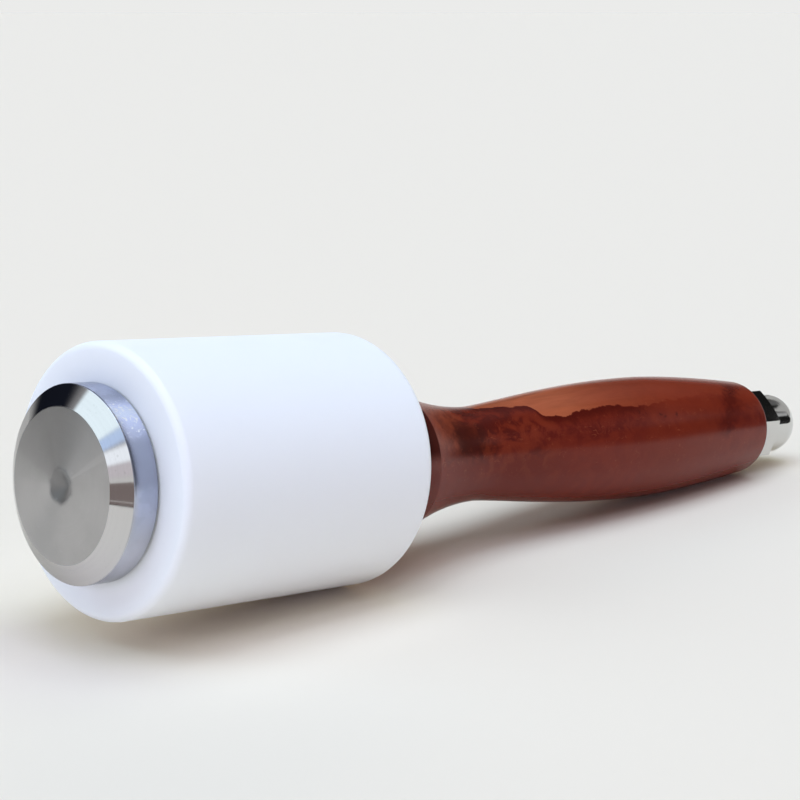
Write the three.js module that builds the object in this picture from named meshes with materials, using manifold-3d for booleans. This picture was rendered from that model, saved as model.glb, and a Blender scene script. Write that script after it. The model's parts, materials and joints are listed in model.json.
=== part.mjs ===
// Leather carving mallet in millimetres, +Z up. A turned nylon head carries a steel striking disc on its
// front, and one steel rod with a cap nut at its far end pulls the disc, the head and the wooden handle
// together. The mallet lies on its side as it is put down on a bench: the back edge of the head and the
// swell of the handle touch the bench, so its axis drops a little towards the nut.
import * as THREE from "three";
import { mergeVertices } from "three/addons/utils/BufferGeometryUtils.js";
import Module from "manifold-3d";

const wasm = await Module();
wasm.setup();

// Facets round the turned pieces and round the threads. An even count puts a flat facet underneath.
const turnedSides = 32;
const threadSides = 16;
const roundSteps = 4;
const handleSteps = 30;

// Clearance between neighbours, and how far a cutting tool runs past what it cuts
const fitGap = 0.3;
const overrun = 1;

// Nylon head
const headRadius = 25;
const headLength = 60.9;
const headFrontRound = 1.5;
const headBackRound = 2.5;

// Steel striking disc. Its stem sits in the nylon and is tapped for the rod.
const discRadius = 17.8;
const discProud = 7.6;
const discChamferDepth = 2.4;
const discChamferWidth = 3.9;
const discBackBevel = 0.4;
const stemWall = 4;
const stemLength = 6;
const stemBevel = 0.6;
const faceWall = 2.6;
const centreMarkRadius = 2.9;
const centreMarkDepth = 1.7;

// Steel rod, threaded at both ends. It runs this far below the middle of the head.
const rodRadius = 5;
const rodOffset = 1.7;
const rodBevel = 0.8;
const rodFrontThread = 11;
const rodBackThread = 16;
const threadPitch = 1.5;
const threadDepthShare = 0.541;
const threadCrestShare = 0.125;
const threadRootShare = 0.25;

// Wooden handle: it flares where it meets the head, narrows to a neck and swells to the grip
const handleLength = 132;
const flareRadius = 19.7;
const neckRadius = 10;
const gripRadius = 13.9;
const buttRadius = 11.1;
const buttRound = 1.2;
const neckShare = 0.27;
const gripShare = 0.705;
const flareSteepness = 1.95;
const swellEarliness = 0.66;
const taperSteepness = 1.54;

// Chromed cap nut. One of its corners stands this many degrees from straight up, towards -Y.
const nutSides = 6;
const nutCornerDegrees = 15;
const nutAcrossFlats = 16;
const nutHexHeight = 8.2;
const nutCornerBevel = 1.1;
const nutBevelRise = 0.6;
const domeWall = 2;
const domeStraight = 5.8;
const rodInNut = 13;
const rodEndRoom = 1.2;

// Places along the axis, counted from the striking face
const headStart = discProud + fitGap;
const headEnd = headStart + headLength;
const handleStart = headEnd + fitGap;
const handleEnd = handleStart + handleLength;
const nutStart = handleEnd + fitGap;
const stemEnd = discProud + stemLength;
const rodStart = faceWall + rodEndRoom;
const rodEnd = nutStart + rodInNut;

// Sizes that follow from the ones above
const boreRadius = rodRadius + fitGap;
const stemRadius = boreRadius + rodOffset + stemWall;
const stemPocketRadius = stemRadius + fitGap;
const stemPocketDepth = stemLength;
const domeRadius = boreRadius + domeWall;
const nutCornerRadius = nutAcrossFlats / 2 / Math.cos(Math.PI / nutSides);
const threadDepth = threadPitch * threadDepthShare;

const steel = new THREE.MeshStandardMaterial({ color: 0xa5a2a3, roughness: 0.35, metalness: 1 });
const nylon = new THREE.MeshStandardMaterial({ color: 0xe9f1fb, roughness: 0.45, metalness: 0 });
const zincSteel = new THREE.MeshStandardMaterial({ color: 0x8f9296, roughness: 0.4, metalness: 1 });
const wood = new THREE.MeshStandardMaterial({ color: 0x6e2314, roughness: 0.25, metalness: 0 });
const chrome = new THREE.MeshStandardMaterial({ color: 0xc9ccce, roughness: 0.1, metalness: 1 });

// A point of a turned outline: distance from the axis, then place along it
function at(radius, station) {
  return new THREE.Vector2(radius, station);
}

// A solid turned round +Y. The outline runs from low to high stations on its outside.
function turned(outline, sides = turnedSides) {
  return new THREE.LatheGeometry(outline, sides, Math.PI / sides);
}

// A quarter round from the side of a cylinder to its end face, or the other way
function quarterRound(radius, station, size, towardsEnd) {
  const points = [];
  for (let step = 0; step <= roundSteps; step += 1) {
    const share = step / roundSteps;
    const angle = (Math.PI / 2) * (towardsEnd ? share : 1 - share);
    const along = (towardsEnd ? 1 : -1) * size * Math.sin(angle);
    points.push(at(radius - size + size * Math.cos(angle), station + along));
  }
  return points;
}

function toSolid(geometry) {
  const bare = geometry.clone();
  bare.deleteAttribute("normal");
  bare.deleteAttribute("uv");
  const welded = mergeVertices(bare);
  const mesh = new wasm.Mesh({
    numProp: 3,
    vertProperties: welded.attributes.position.array,
    triVerts: new Uint32Array(welded.index.array),
  });
  return new wasm.Manifold(mesh);
}

function toGeometry(solid) {
  const mesh = solid.getMesh();
  const geometry = new THREE.BufferGeometry();
  geometry.setAttribute("position", new THREE.BufferAttribute(mesh.vertProperties, 3));
  geometry.setIndex(new THREE.BufferAttribute(mesh.triVerts, 1));
  geometry.computeVertexNormals();
  return geometry;
}

// A screw along +Y that covers the stretch between two stations, wider by grown. Every thread counts
// its turns from the striking face, so a nut and its rod stay in step. It is a few turns too long on
// purpose, and each use trims it to length.
function screw(from, to, grown) {
  const crest = rodRadius + grown;
  const root = crest - threadDepth;
  const flankShare = (1 - threadCrestShare - threadRootShare) / 2;
  const rows = [
    { share: 0, radius: crest },
    { share: threadCrestShare, radius: crest },
    { share: threadCrestShare + flankShare, radius: root },
    { share: 1 - flankShare, radius: root },
  ];
  const spareTurns = 2;
  const firstTurn = Math.floor(from / threadPitch) - spareTurns;
  const lastTurn = Math.ceil(to / threadPitch) + spareTurns;
  const rowCount = (lastTurn - firstTurn) * rows.length;
  const positions = [];
  const columnStart = [];
  for (let column = 0; column < threadSides; column += 1) {
    columnStart.push(positions.length / 3);
    const angle = ((column + 0.5) / threadSides) * 2 * Math.PI;
    const lastRow = column === 0 ? rowCount + rows.length : rowCount;
    for (let row = 0; row <= lastRow; row += 1) {
      const { share, radius } = rows[row % rows.length];
      const turn = firstTurn + Math.floor(row / rows.length) + share + column / threadSides;
      positions.push(radius * Math.sin(angle), turn * threadPitch, radius * Math.cos(angle));
    }
  }
  const vertex = (column, row) =>
    column < threadSides ? columnStart[column] + row : columnStart[0] + row + rows.length;
  const low = positions.length / 3;
  positions.push(0, (firstTurn - 1) * threadPitch, 0);
  const high = low + 1;
  positions.push(0, (lastTurn + 2) * threadPitch, 0);
  const faces = [];
  for (let column = 0; column < threadSides; column += 1) {
    for (let row = 0; row < rowCount; row += 1) {
      const near = vertex(column, row);
      const far = vertex(column + 1, row);
      faces.push(near, far, near + 1, far + 1, near + 1, far);
    }
    faces.push(vertex(column + 1, 0), vertex(column, 0), low);
    faces.push(vertex(column, rowCount), vertex(column + 1, rowCount), high);
  }
  for (let row = 0; row < rows.length; row += 1) {
    faces.push(vertex(0, row), vertex(0, row + 1), low);
    faces.push(vertex(0, rowCount + row + 1), vertex(0, rowCount + row), high);
  }
  const geometry = new THREE.BufferGeometry();
  geometry.setAttribute("position", new THREE.Float32BufferAttribute(positions, 3));
  geometry.setIndex(faces);
  return toSolid(geometry);
}

// What a tap takes out of a blind hole between two stations. The mouth is at one end or the other,
// and is opened out by a bevel as wide as the thread is deep.
function tappedHole(from, to, mouthAtEnd) {
  const blank = [at(0, from), at(boreRadius, from), at(boreRadius, to), at(0, to)];
  const mouth = mouthAtEnd
    ? [
        at(0, to - threadDepth),
        at(boreRadius - threadDepth, to - threadDepth),
        at(boreRadius, to),
        at(boreRadius, to + overrun),
        at(0, to + overrun),
      ]
    : [
        at(0, from - overrun),
        at(boreRadius, from - overrun),
        at(boreRadius, from),
        at(boreRadius - threadDepth, from + threadDepth),
        at(0, from + threadDepth),
      ];
  const thread = screw(from, to, fitGap).intersect(toSolid(turned(blank, threadSides)));
  return thread.add(toSolid(turned(mouth, threadSides)));
}

function strikingDisc() {
  const faceRadius = discRadius - discChamferWidth;
  const body = toSolid(
    turned([
      at(0, centreMarkDepth),
      at(centreMarkRadius, 0),
      at(faceRadius, 0),
      at(discRadius, discChamferDepth),
      at(discRadius, discProud - discBackBevel),
      at(discRadius - discBackBevel, discProud),
      at(stemRadius, discProud),
      at(stemRadius, stemEnd - stemBevel),
      at(stemRadius - stemBevel, stemEnd),
      at(0, stemEnd),
    ]),
  );
  const hole = tappedHole(faceWall, stemEnd, true).translate([0, 0, -rodOffset]);
  return toGeometry(body.subtract(hole));
}

// The pieces behind the disc are made from their own start, and then placed along the axis
function nylonHead() {
  const outside = [
    at(stemPocketRadius, 0),
    ...quarterRound(headRadius, headFrontRound, headFrontRound, false),
    ...quarterRound(headRadius, headLength - headBackRound, headBackRound, true),
    at(0, headLength),
    at(0, stemPocketDepth),
    at(stemPocketRadius, stemPocketDepth),
    at(stemPocketRadius, 0),
  ];
  const body = toSolid(turned(outside));
  const drill = [
    at(0, stemPocketDepth - overrun),
    at(boreRadius, stemPocketDepth - overrun),
    at(boreRadius, headLength + overrun),
    at(0, headLength + overrun),
  ];
  const bore = toSolid(turned(drill, threadSides)).translate([0, 0, -rodOffset]);
  return toGeometry(body.subtract(bore));
}

// One threaded stretch of the rod, bevelled at its free end
function threadedEnd(from, to, freeAtStart) {
  const sides = freeAtStart
    ? [at(rodRadius - rodBevel, from), at(rodRadius, from + rodBevel), at(rodRadius, to)]
    : [at(rodRadius, from), at(rodRadius, to - rodBevel), at(rodRadius - rodBevel, to)];
  const blank = [at(0, from), ...sides, at(0, to)];
  return screw(from, to, 0).intersect(toSolid(turned(blank, threadSides)));
}

function throughRod() {
  const frontThreadEnd = rodStart + rodFrontThread;
  const backThreadStart = rodEnd - rodBackThread;
  const shank = [
    at(0, frontThreadEnd - overrun),
    at(rodRadius - threadDepth, frontThreadEnd - overrun),
    at(rodRadius, frontThreadEnd),
    at(rodRadius, backThreadStart),
    at(rodRadius - threadDepth, backThreadStart + overrun),
    at(0, backThreadStart + overrun),
  ];
  return toGeometry(
    toSolid(turned(shank, threadSides))
      .add(threadedEnd(rodStart, frontThreadEnd, true))
      .add(threadedEnd(backThreadStart, rodEnd, false)),
  );
}

// How thick the handle is at a share of its length, before its end is rounded
function handleRadius(share) {
  if (share < neckShare) {
    const left = 1 - share / neckShare;
    return neckRadius + (flareRadius - neckRadius) * left ** flareSteepness;
  }
  if (share < gripShare) {
    const way = ((share - neckShare) / (gripShare - neckShare)) ** swellEarliness;
    return neckRadius + (gripRadius - neckRadius) * (0.5 - Math.cos(Math.PI * way) / 2);
  }
  const way = (share - gripShare) / (1 - gripShare);
  return gripRadius - (gripRadius - buttRadius) * way ** taperSteepness;
}

function handleOutline() {
  const roundStart = handleLength - buttRound;
  const points = [];
  for (let step = 0; step < handleSteps; step += 1) {
    const station = (roundStart * step) / handleSteps;
    points.push(at(handleRadius(station / handleLength), station));
  }
  const endRadius = handleRadius(roundStart / handleLength);
  return [...points, ...quarterRound(endRadius, roundStart, buttRound, true)];
}

function woodenHandle() {
  const outline = handleOutline();
  return turned([at(boreRadius, 0), ...outline, at(boreRadius, handleLength), at(boreRadius, 0)]);
}

function domeTop() {
  const steps = 2 * roundSteps;
  const points = [];
  for (let step = 0; step <= steps; step += 1) {
    const angle = (Math.PI / 2) * (step / steps);
    const radius = step === steps ? 0 : domeRadius * Math.cos(angle);
    points.push(at(radius, nutHexHeight + domeStraight + domeRadius * Math.sin(angle)));
  }
  return points;
}

function capNut() {
  const hexagon = new THREE.CylinderGeometry(
    nutCornerRadius,
    nutCornerRadius,
    nutHexHeight,
    nutSides,
    1,
    false,
    THREE.MathUtils.degToRad(nutCornerDegrees),
  ).translate(0, nutHexHeight / 2, 0);
  const cornerCutter = [
    at(0, 0),
    at(nutCornerRadius - nutCornerBevel, 0),
    at(nutCornerRadius, nutBevelRise),
    at(nutCornerRadius, nutHexHeight - nutBevelRise),
    at(nutCornerRadius - nutCornerBevel, nutHexHeight),
    at(0, nutHexHeight),
  ];
  const dome = [at(0, nutHexHeight - overrun), at(domeRadius, nutHexHeight - overrun), ...domeTop()];
  const body = toSolid(hexagon)
    .intersect(toSolid(turned(cornerCutter)))
    .add(toSolid(turned(dome)));
  const hole = tappedHole(nutStart, rodEnd + rodEndRoom, false).translate([0, -nutStart, 0]);
  return toGeometry(body.subtract(hole));
}

// The axis drops by the angle of the straight line under the mallet, from the back edge of the head to
// the part of the handle that reaches the bench first. Both touch on the middle of a facet.
function restAngle() {
  const facetMiddleShare = Math.cos(Math.PI / turnedSides);
  const edgeStation = headEnd - headBackRound;
  const drops = handleOutline().map((point) => {
    const fall = (headRadius - point.x) * facetMiddleShare - rodOffset;
    return fall / (handleStart + point.y - edgeStation);
  });
  return Math.atan(Math.min(...drops));
}

function piece(name, geometry, material, station) {
  const mesh = new THREE.Mesh(geometry, material);
  mesh.name = name;
  mesh.position.y = station;
  return mesh;
}

const onHeadAxis = new THREE.Group();
onHeadAxis.add(
  piece("striking_disc", strikingDisc(), steel, 0),
  piece("nylon_head", nylonHead(), nylon, headStart),
);

const onRodAxis = new THREE.Group();
onRodAxis.position.z = -rodOffset;
onRodAxis.add(
  piece("through_rod", throughRod(), zincSteel, 0),
  piece("wooden_handle", woodenHandle(), wood, handleStart),
  piece("cap_nut", capNut(), chrome, nutStart),
);

// The axis is turned from +Y to +X, and then laid down on the bench
const alongX = new THREE.Group();
alongX.rotation.z = -Math.PI / 2;
alongX.add(onHeadAxis, onRodAxis);

const laidDown = new THREE.Group();
laidDown.rotation.y = restAngle();
laidDown.add(alongX);

// The origin is on the bench, below the middle of the mallet
const box = new THREE.Box3().setFromObject(laidDown, true);
const middle = box.getCenter(new THREE.Vector3());
laidDown.position.set(-middle.x, -middle.y, -box.min.z);

const mallet = new THREE.Group();
mallet.name = "leather_carving_mallet";
mallet.add(laidDown);

export default mallet;
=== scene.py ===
"""Leather carving mallet: turned pieces with their finishes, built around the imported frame."""

import json
import math
from types import SimpleNamespace

import bmesh
import bpy
from bpy.props import FloatProperty, FloatVectorProperty, IntProperty, PointerProperty
from mathutils import Matrix, Vector


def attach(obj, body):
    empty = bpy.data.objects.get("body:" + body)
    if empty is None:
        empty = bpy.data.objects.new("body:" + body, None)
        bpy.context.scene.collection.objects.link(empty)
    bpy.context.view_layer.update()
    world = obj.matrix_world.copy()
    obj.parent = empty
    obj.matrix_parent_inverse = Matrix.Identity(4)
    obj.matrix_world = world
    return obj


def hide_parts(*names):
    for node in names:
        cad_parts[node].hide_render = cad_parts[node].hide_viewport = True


bl_info = {
    "name": "Leather Carving Mallet",
    "version": (1, 0, 0),
    "blender": (4, 5, 0),
    "location": "View3D > Sidebar > Mallet",
    "description": "Builds the pieces and finishes of a turned leather carving mallet",
    "category": "Add Mesh",
}

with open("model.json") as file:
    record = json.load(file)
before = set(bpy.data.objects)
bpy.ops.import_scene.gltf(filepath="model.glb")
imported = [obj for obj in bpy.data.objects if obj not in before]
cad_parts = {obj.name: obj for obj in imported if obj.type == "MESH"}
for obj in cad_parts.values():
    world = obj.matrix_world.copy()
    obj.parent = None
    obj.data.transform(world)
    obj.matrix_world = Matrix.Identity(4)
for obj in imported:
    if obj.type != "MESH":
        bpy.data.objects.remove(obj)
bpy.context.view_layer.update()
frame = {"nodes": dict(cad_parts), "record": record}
BODY = "root"
MM = 0.001

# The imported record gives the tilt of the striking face, and a point on that face above its centre.
FACE_MOUNT = frame["record"]["mounts"][0]
FACE_POINT = Vector(FACE_MOUNT["pos_m"])
FACE_OUTWARD = Vector(FACE_MOUNT["axis"])
MOUNT_RISE = 8 * MM
REST_TILT = math.atan2(FACE_OUTWARD.z, -FACE_OUTWARD.x)
FACE_CENTRE = FACE_POINT - MOUNT_RISE * Vector((math.sin(REST_TILT), 0, math.cos(REST_TILT)))


def setting(kind, **fixed):
    """A maker of settings of a kind, each from its label, what it is and its value."""
    return lambda label, about, value: kind(name=label, description=about, default=value, **fixed)


length = setting(FloatProperty, min=0.0, unit="LENGTH", precision=5)
share = setting(FloatProperty, min=0.0, max=1.0, subtype="FACTOR")
angle = setting(FloatProperty, subtype="ANGLE", unit="ROTATION")
count = setting(IntProperty, min=24)
colour = setting(FloatVectorProperty, size=3, min=0.0, max=1.0, subtype="COLOR")
point = setting(FloatVectorProperty, size=3, subtype="TRANSLATION", unit="LENGTH")


class MalletPlaceSettings(bpy.types.PropertyGroup):
    """Where the mallet's axis lies."""

    tilt: angle("Rest tilt", "How far the axis drops towards the nut", REST_TILT)
    face_centre: point("Face centre", "Middle of the striking face", FACE_CENTRE)
    rod_drop: length("Rod drop", "How far the rod's axis lies below the head's axis", 0.0017)
    rod_hole: length("Rod hole radius", "Radius of the hole for the rod", 0.0053)
    sides: count("Turned sides", "Faces round each turned piece", 192)


class MalletDiscSettings(bpy.types.PropertyGroup):
    """Sizes and colour of the steel striking disc."""

    radius: length("Radius", "Radius of the side band", 0.0178)
    proud: length("Proud", "How far the disc stands in front of the nylon", 0.0076)
    chamfer_depth: length("Chamfer depth", "Length of the chamfer along the axis", 0.0024)
    chamfer_width: length("Chamfer width", "Width of the chamfer from face to band", 0.0039)
    back_bevel: length("Back bevel", "Bevel at the back of the band", 0.0004)
    edge_round: length("Edge round", "Round on the turned edges", 0.00012)
    mark_radius: length("Centre mark radius", "Radius of the centre mark", 0.0029)
    mark_depth: length("Centre mark depth", "Depth of the centre mark", 0.0017)
    stem_radius: length("Stem radius", "Radius of the stem in the nylon", 0.011)
    stem_length: length("Stem length", "Length of the stem in the nylon", 0.006)
    face_wall: length("Face wall", "Steel left between the face and the rod's hole", 0.0026)
    steel: colour("Steel", "Colour of the turned steel", (0.605, 0.597, 0.600))


class MalletHeadSettings(bpy.types.PropertyGroup):
    """Sizes and colour of the nylon head."""

    radius: length("Radius", "Radius of the head", 0.025)
    start: length("Start", "Station of the front of the head", 0.0079)
    length: length("Length", "Length of the head", 0.0609)
    front_round: length("Front round", "Round on the front edge", 0.0015)
    back_round: length("Back round", "Round on the back edge", 0.0025)
    pocket_radius: length("Pocket radius", "Radius of the pocket for the stem", 0.0113)
    pocket_depth: length("Pocket depth", "Depth of the pocket for the stem", 0.006)
    nylon: colour("Nylon", "Colour of the nylon", (0.955, 0.99, 1.0))


class MalletHandleSettings(bpy.types.PropertyGroup):
    """Sizes and colours of the wooden handle."""

    start: length("Start", "Station of the flare's end face", 0.0691)
    length: length("Length", "Length of the handle", 0.132)
    flare_radius: length("Flare radius", "Radius at the head", 0.0197)
    neck_radius: length("Neck radius", "Radius at the neck", 0.010)
    grip_radius: length("Grip radius", "Radius at the fullest part of the grip", 0.0139)
    butt_radius: length("Butt radius", "Radius at the nut", 0.0111)
    butt_round: length("Butt round", "Round on the butt's edge", 0.0012)
    flare_round: length("Flare round", "Round on the flare's edge", 0.0002)
    neck_share: share("Neck place", "Share of the length at which the neck is", 0.27)
    grip_share: share("Grip place", "Share of the length at which the grip is fullest", 0.705)
    steps: count("Outline steps", "Steps along the outline", 110)
    heartwood: colour("Heartwood", "Main red brown of the wood", (0.165, 0.0185, 0.0075))
    deep: colour("Deep figure", "Dark red of the figured wood", (0.100, 0.009, 0.005))
    burl: colour("Burl", "Very dark brown of the burl at the neck", (0.045, 0.007, 0.0045))
    sapwood: colour("Sapwood", "Orange brown of the pale wood", (0.385, 0.094, 0.038))
    warm: colour("Warm wood", "Red brown of the grip's upper side", (0.225, 0.028, 0.010))


class MalletNutSettings(bpy.types.PropertyGroup):
    """Sizes and colour of the cap nut."""

    start: length("Start", "Station of the nut's seat", 0.2014)
    across_flats: length("Across flats", "Width of the hexagon over its flats", 0.016)
    corner_turn: angle("Corner turn", "How far a corner stands from straight up", math.radians(15))
    hex_height: length("Hexagon height", "Height of the hexagon", 0.0082)
    corner_bevel: length("Corner bevel", "Width of the bevel on the corners", 0.0011)
    bevel_rise: length("Bevel rise", "Height of the bevel on the corners", 0.0006)
    dome_radius: length("Dome radius", "Radius of the dome", 0.0073)
    dome_straight: length("Dome straight", "Straight part under the dome", 0.0058)
    hole_depth: length("Hole depth", "Depth of the rod's hole", 0.0142)
    chrome: colour("Chrome", "Colour of the chrome", (0.67, 0.675, 0.665))


class MalletStageSettings(bpy.types.PropertyGroup):
    """Camera, floor and light."""

    camera_place: point("Camera place", "Where the camera stands", (-0.30713, -0.27695, 0.11167))
    camera_look: FloatVectorProperty(
        name="Camera look",
        description="Direction in which the camera looks",
        default=(0.69884, 0.68878, -0.19292),
        size=3,
        subtype="DIRECTION",
    )
    lens: FloatProperty(
        name="Lens", description="Focal length on a 36 mm sensor", default=89.068, unit="CAMERA"
    )
    floor: colour("Floor", "Colour of the floor", (0.839, 0.763, 0.639))
    horizon: colour("Horizon", "Colour of the backdrop behind the floor", (0.831, 0.835, 0.824))
    room: colour("Room", "What gloss shows of the room above the backdrop", (0.36, 0.36, 0.37))
    fill: colour("Fill", "Light from all round", (0.125, 0.100, 0.060))


class MalletSettings(bpy.types.PropertyGroup):
    """All that a user of the mallet would change."""

    place: PointerProperty(type=MalletPlaceSettings)
    disc: PointerProperty(type=MalletDiscSettings)
    head: PointerProperty(type=MalletHeadSettings)
    handle: PointerProperty(type=MalletHandleSettings)
    nut: PointerProperty(type=MalletNutSettings)
    stage: PointerProperty(type=MalletStageSettings)


# Shaping

MERGE = 1e-7
ROUND_SEGMENTS = 6


def outline(corners):
    """A closed wire outline from (station, radius, round) corners: X along the mallet, Z outwards.

    Outlines that reach the axis are left open there, so the turned shape closes in a pole.
    """
    bm = bmesh.new()
    verts = [bm.verts.new((station, 0.0, radius)) for station, radius, _ in corners]
    ends_on_axis = corners[0][1] == 0 and corners[-1][1] == 0
    pairs = list(zip(verts, verts[1:]))
    if not ends_on_axis:
        pairs.append((verts[-1], verts[0]))
    for pair in pairs:
        bm.edges.new(pair)
    for vert, (_, _, size) in zip(verts, corners):
        if size > 0:
            bmesh.ops.bevel(
                bm,
                geom=[vert],
                offset=size,
                affect="VERTICES",
                segments=ROUND_SEGMENTS,
                profile=0.5,
                material=-1,
                clamp_overlap=True,
            )
    return bm


def close_up(bm):
    """Merges what lies on one spot, and turns all faces outwards."""
    bmesh.ops.remove_doubles(bm, verts=bm.verts[:], dist=MERGE)
    bmesh.ops.recalc_face_normals(bm, faces=bm.faces[:])


def turn(bm, sides):
    """Turns a wire outline about the X axis into a closed shape."""
    wire = bm.verts[:] + bm.edges[:]
    bmesh.ops.spin(bm, geom=wire, axis=(1, 0, 0), angle=2 * math.pi, steps=sides, use_merge=True)
    close_up(bm)


def map_turning(bm, radius):
    """Lays out UVs with the radius across and the turn upwards, for gloss that follows it."""
    turning = bm.loops.layers.uv.new("turning")
    for face in bm.faces:
        centre = face.calc_center_median()
        middle = math.atan2(centre.y, centre.z)
        for loop in face.loops:
            co = loop.vert.co
            out = math.hypot(co.y, co.z)
            way = middle if out < MERGE else math.atan2(co.y, co.z)
            if way - middle > math.pi:
                way -= 2 * math.pi
            if middle - way > math.pi:
                way += 2 * math.pi
            loop[turning].uv = (out / radius, way / (2 * math.pi) + 0.5)


def sink_hole(bm, radius, start, drop):
    """Moves the rod's hole, from a station on, down to the rod's own axis."""
    wall = [
        vert
        for vert in bm.verts
        if vert.co.x > start - MERGE and math.hypot(vert.co.y, vert.co.z) < radius + MERGE
    ]
    bmesh.ops.translate(bm, vec=(0, 0, -drop), verts=wall)


def lay_in_place(bm, place, drop):
    """Moves a shape from its own axis to where the mallet lies, dropped below the head's axis."""
    lie = Matrix.Translation(Vector(place.face_centre)) @ Matrix.Rotation(place.tilt, 4, "Y")
    bmesh.ops.transform(bm, matrix=lie @ Matrix.Translation((0, 0, -drop)), verts=bm.verts[:])


def linked_object(context, name, bm, materials):
    """Makes a shape into an object with its materials, and links it to the scene."""
    mesh = bpy.data.meshes.new(name)
    bm.to_mesh(mesh)
    bm.free()
    for material in materials:
        mesh.materials.append(material)
    made = bpy.data.objects.new(name, mesh)
    context.scene.collection.objects.link(made)
    return made


SHARP_ANGLE = math.radians(28)


def finished_piece(context, bm, drop, materials, node):
    """Lays a shape in place, shades it, hangs it on the body, and hides the CAD node that it stands
    for, whose name it carries.
    """
    lay_in_place(bm, context.scene.mallet.place, drop)
    piece = linked_object(context, node + "_turned", bm, materials)
    piece.data.shade_smooth()
    piece.data.set_sharp_from_angle(angle=SHARP_ANGLE)
    even = piece.modifiers.new("even_shading", "WEIGHTED_NORMAL")
    even.keep_sharp = True
    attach(piece, BODY)
    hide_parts(node)


def disc_outline(disc, rod_hole):
    """From the centre mark over face, chamfer, band and stem to the bottom of the rod's hole."""
    face_radius = disc.radius - disc.chamfer_width
    stem_end = disc.proud + disc.stem_length
    corners = [
        (disc.mark_depth, 0, 0),
        (0, disc.mark_radius, disc.edge_round),
        (0, face_radius, disc.edge_round),
        (disc.chamfer_depth, disc.radius, disc.edge_round),
        (disc.proud, disc.radius, disc.back_bevel),
        (disc.proud, disc.stem_radius, 0),
        (stem_end, disc.stem_radius, disc.back_bevel),
        (stem_end, rod_hole, 0),
        (disc.face_wall, rod_hole, 0),
        (disc.face_wall, 0, 0),
    ]
    return outline(corners)


def head_outline(head, rod_hole):
    """Round the wall of the nylon, with the stem's pocket in front and the rod's hole."""
    end = head.start + head.length
    pocket_end = head.start + head.pocket_depth
    corners = [
        (head.start, head.pocket_radius, 0),
        (head.start, head.radius, head.front_round),
        (end, head.radius, head.back_round),
        (end, rod_hole, 0),
        (pocket_end, rod_hole, 0),
        (pocket_end, head.pocket_radius, 0),
    ]
    return outline(corners)


FLARE_STEEPNESS = 1.95
SWELL_EARLINESS = 0.66
TAPER_STEEPNESS = 1.54


def handle_radius(handle, way):
    """Radius at a share of the handle's length: flare, then swell, then taper."""
    neck, grip = handle.neck_radius, handle.grip_radius
    if way < handle.neck_share:
        left = 1 - way / handle.neck_share
        return neck + (handle.flare_radius - neck) * left**FLARE_STEEPNESS
    if way < handle.grip_share:
        part = (way - handle.neck_share) / (handle.grip_share - handle.neck_share)
        return neck + (grip - neck) * (0.5 - math.cos(math.pi * part**SWELL_EARLINESS) / 2)
    part = (way - handle.grip_share) / (1 - handle.grip_share)
    return grip - (grip - handle.butt_radius) * part**TAPER_STEEPNESS


# The butt's round takes the last steps of the curve, over this many times its size.
ROUND_CLEARANCE = 1.2


def handle_outline(handle, rod_hole):
    """Round the wall of the handle, from the hole's mouth over the flare to the butt."""
    end = handle.start + handle.length
    rounds = {0: handle.flare_round, handle.steps: handle.butt_round}
    corners = [(handle.start, rod_hole, 0)]
    for step in range(handle.steps + 1):
        way = step / handle.steps
        station = handle.start + way * handle.length
        if step == handle.steps or station < end - ROUND_CLEARANCE * handle.butt_round:
            corners.append((station, handle_radius(handle, way), rounds.get(step, 0)))
    corners.append((end, rod_hole, 0))
    return outline(corners)


DOME_STEPS = 24


def nut_outline(nut, rod_hole):
    """The nut before its flats are cut: rod's hole, seat, corner bevels, neck and dome."""
    corner = nut.across_flats / math.sqrt(3)
    hex_end = nut.start + nut.hex_height
    hole_end = nut.start + nut.hole_depth
    dome_start = hex_end + nut.dome_straight
    corners = [
        (hole_end, 0, 0),
        (hole_end, rod_hole, 0),
        (nut.start, rod_hole, 0),
        (nut.start, corner - nut.corner_bevel, 0),
        (nut.start + nut.bevel_rise, corner, 0),
        (hex_end - nut.bevel_rise, corner, 0),
        (hex_end, corner - nut.corner_bevel, 0),
        (hex_end, nut.dome_radius, 0),
    ]
    for step in range(DOME_STEPS + 1):
        up = (math.pi / 2) * step / DOME_STEPS
        radius = 0.0 if step == DOME_STEPS else nut.dome_radius * math.cos(up)
        corners.append((dome_start + nut.dome_radius * math.sin(up), radius, 0))
    return outline(corners)


FLATS = 6


def cut_flats(bm, across_flats, corner_turn):
    """Cuts the six flats, each closed with one face. A corner stands at the turn from up."""
    for side in range(FLATS):
        bearing = corner_turn + math.radians(360 / FLATS * (side + 0.5))
        outwards = Vector((0, -math.sin(bearing), math.cos(bearing)))
        cut = bmesh.ops.bisect_plane(
            bm,
            geom=bm.verts[:] + bm.edges[:] + bm.faces[:],
            dist=MERGE,
            plane_co=outwards * across_flats / 2,
            plane_no=outwards,
            clear_outer=True,
        )
        rim = [e for e in cut["geom_cut"] if isinstance(e, bmesh.types.BMEdge) and e.is_boundary]
        bmesh.ops.contextual_create(bm, geom=rim)
    close_up(bm)


# Finishes


def rgba(tone):
    """A colour with its alpha, unless it comes from a socket."""
    return tone if isinstance(tone, bpy.types.NodeSocket) else (*tone, 1.0)


def feed(tree, node, inputs):
    """Gives a node its inputs. Each, by name or number, takes a value or another socket."""
    for name, value in inputs.items():
        if isinstance(value, bpy.types.NodeSocket):
            tree.links.new(value, node.inputs[name])
        else:
            node.inputs[name].default_value = value


def add(tree, kind, inputs=None, **settings):
    """Adds a node with its settings and inputs."""
    node = tree.nodes.new(kind)
    for name, value in settings.items():
        setattr(node, name, value)
    feed(tree, node, inputs or {})
    return node


def calc(tree, operation, *values):
    """The result of a math node."""
    return add(tree, "ShaderNodeMath", dict(enumerate(values)), operation=operation).outputs[0]


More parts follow.
